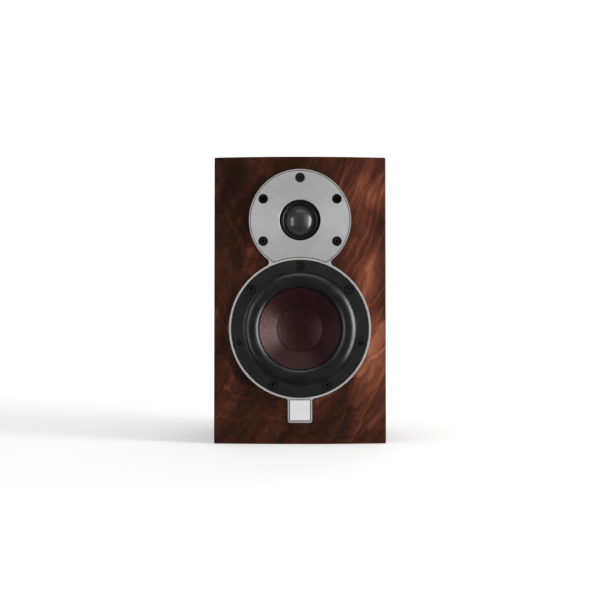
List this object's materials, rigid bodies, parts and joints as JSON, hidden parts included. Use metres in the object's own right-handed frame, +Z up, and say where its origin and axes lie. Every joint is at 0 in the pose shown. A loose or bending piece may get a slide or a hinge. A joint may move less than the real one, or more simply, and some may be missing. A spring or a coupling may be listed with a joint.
{
  "type": "bookshelf speaker",
  "caption": "Compact two-way bookshelf speaker: veneered cabinet with a convex front, flat metal trim round a dome tweeter and a fibre-cone woofer, grille off, port and posts behind.",
  "frame": {"origin": "centre of the cabinet's base", "axes": "+Z up, -Y out of the front, +X to the right seen from the front"},
  "size_m": [0.15, 0.227, 0.25],
  "materials": {
    "walnut_veneer": "figured walnut veneer under high-gloss lacquer",
    "trim_alloy": "fine satin",
    "badge_alloy": "smooth satin",
    "faceplate_alloy": "satin",
    "socket_rubber": "matt",
    "black_steel": "black oxide",
    "dome_cloth": "coated cloth, semi-gloss",
    "ring_plastic": "matt",
    "surround_rubber": "satin",
    "cone_fibre": "pressed wood fibre",
    "basket_metal": "satin black powder coat",
    "foam_gasket": "closed-cell foam",
    "former_foil": "thin foil",
    "copper_wire": "enamelled copper",
    "spider_cloth": "resin-stiffened cloth",
    "ferrite": "ground ferrite",
    "motor_steel": "zinc plated",
    "chamber_plastic": "moulded",
    "terminal_tabs": "tinned brass tabs on a board strip",
    "port_plastic": "fine texture",
    "hanger_steel": "black zinc",
    "terminal_plastic": "fine texture",
    "gold_plate": "gold plated",
    "collar_plastic": "moulded",
    "knob_red": "gold-plated core in a red sleeve",
    "knob_black": "gold-plated core in a black sleeve",
    "board_laminate": "glass-fibre laminate with solder mask",
    "white_nylon": "moulded",
    "zinc_steel": "zinc plated",
    "capacitor_film": "wrapped film",
    "resistor_ceramic": "cement",
    "wire_red": "insulated",
    "wire_black": "insulated",
    "wadding": "polyester wadding"
  },
  "bodies": {
    "cabinet": {"front_baffle": "walnut_veneer", "side_panel_left": "walnut_veneer", "side_panel_right": "walnut_veneer", "top_panel": "walnut_veneer", "bottom_panel": "walnut_veneer", "rear_panel": "walnut_veneer", "trim_plate": "trim_alloy", "badge_plate": "badge_alloy", "grille_sockets": "socket_rubber", "driver_screws": "black_steel", "tweeter_faceplate": "faceplate_alloy", "tweeter_gasket": "foam_gasket", "tweeter_ring": "ring_plastic", "tweeter_surround": "dome_cloth", "tweeter_top_plate": "motor_steel", "tweeter_magnet": "ferrite", "tweeter_yoke": "motor_steel", "tweeter_rear_chamber": "chamber_plastic", "tweeter_terminals": "terminal_tabs", "woofer_basket": "basket_metal", "woofer_gasket": "foam_gasket", "woofer_surround": "surround_rubber", "woofer_spider": "spider_cloth", "woofer_top_plate": "motor_steel", "woofer_magnet": "ferrite", "woofer_yoke": "motor_steel", "woofer_terminals": "terminal_tabs", "woofer_tinsel_leads": "copper_wire", "reflex_port": "port_plastic", "wall_hanger": "hanger_steel", "rear_screws": "black_steel", "terminal_plate": "terminal_plastic", "post_studs": "gold_plate", "post_collars": "collar_plastic", "post_nuts": "gold_plate", "jumper_links": "gold_plate", "crossover_board": "board_laminate", "crossover_standoffs": "white_nylon", "crossover_screws": "zinc_steel", "inductor_bobbins": "white_nylon", "inductor_windings": "copper_wire", "capacitors": "capacitor_film", "resistors": "resistor_ceramic", "wires_positive": "wire_red", "wires_negative": "wire_black", "damping_pads": "wadding"},
    "woofer_motion": {"woofer_cone": "cone_fibre", "woofer_dust_cap": "cone_fibre", "woofer_former": "former_foil", "woofer_winding": "copper_wire"},
    "tweeter_motion": {"tweeter_dome": "dome_cloth", "tweeter_voice_coil": "copper_wire"},
    "clamp_treble_positive": {"washer_treble_positive": "gold_plate"},
    "grip_treble_positive": {"knob_treble_positive": "knob_red"},
    "clamp_treble_negative": {"washer_treble_negative": "gold_plate"},
    "grip_treble_negative": {"knob_treble_negative": "knob_black"},
    "clamp_bass_positive": {"washer_bass_positive": "gold_plate"},
    "grip_bass_positive": {"knob_bass_positive": "knob_red"},
    "clamp_bass_negative": {"washer_bass_negative": "gold_plate"},
    "grip_bass_negative": {"knob_bass_negative": "knob_black"}
  },
  "joints": [
    {"name": "woofer_stroke", "type": "slide", "parent": "cabinet", "child": "woofer_motion", "axis": [0, -1, 0], "range_m": [-0.004, 0.004], "stiffness_N_per_m": 900, "deforming": ["woofer_surround", "woofer_spider", "woofer_tinsel_leads"]},
    {"name": "tweeter_stroke", "type": "slide", "parent": "cabinet", "child": "tweeter_motion", "axis": [0, -1, 0], "range_m": [-0.0003, 0.0003], "stiffness_N_per_m": 2000, "deforming": ["tweeter_surround"]},
    {"name": "clamp_slide_treble_positive", "type": "slide", "parent": "cabinet", "child": "clamp_treble_positive", "axis": [0, 1, 0], "range_m": [0, 0.006]},
    {"name": "knob_turn_treble_positive", "type": "hinge", "parent": "clamp_treble_positive", "child": "grip_treble_positive", "pos_m": [-0.02, 0.117, 0.081], "axis": [0, 1, 0], "range_deg": [0, 2160]},
    {"name": "clamp_slide_treble_negative", "type": "slide", "parent": "cabinet", "child": "clamp_treble_negative", "axis": [0, 1, 0], "range_m": [0, 0.006]},
    {"name": "knob_turn_treble_negative", "type": "hinge", "parent": "clamp_treble_negative", "child": "grip_treble_negative", "pos_m": [0.02, 0.117, 0.081], "axis": [0, 1, 0], "range_deg": [0, 2160]},
    {"name": "clamp_slide_bass_positive", "type": "slide", "parent": "cabinet", "child": "clamp_bass_positive", "axis": [0, 1, 0], "range_m": [0, 0.006]},
    {"name": "knob_turn_bass_positive", "type": "hinge", "parent": "clamp_bass_positive", "child": "grip_bass_positive", "pos_m": [-0.02, 0.117, 0.051], "axis": [0, 1, 0], "range_deg": [0, 2160]},
    {"name": "clamp_slide_bass_negative", "type": "slide", "parent": "cabinet", "child": "clamp_bass_negative", "axis": [0, 1, 0], "range_m": [0, 0.006]},
    {"name": "knob_turn_bass_negative", "type": "hinge", "parent": "clamp_bass_negative", "child": "grip_bass_negative", "pos_m": [0.02, 0.117, 0.051], "axis": [0, 1, 0], "range_deg": [0, 2160]}
  ],
  "couplings": [
    {"joint": "knob_turn_treble_positive", "follows": "clamp_slide_treble_positive", "rad_per_m": 6283.2},
    {"joint": "knob_turn_treble_negative", "follows": "clamp_slide_treble_negative", "rad_per_m": 6283.2},
    {"joint": "knob_turn_bass_positive", "follows": "clamp_slide_bass_positive", "rad_per_m": 6283.2},
    {"joint": "knob_turn_bass_negative", "follows": "clamp_slide_bass_negative", "rad_per_m": 6283.2}
  ]
}
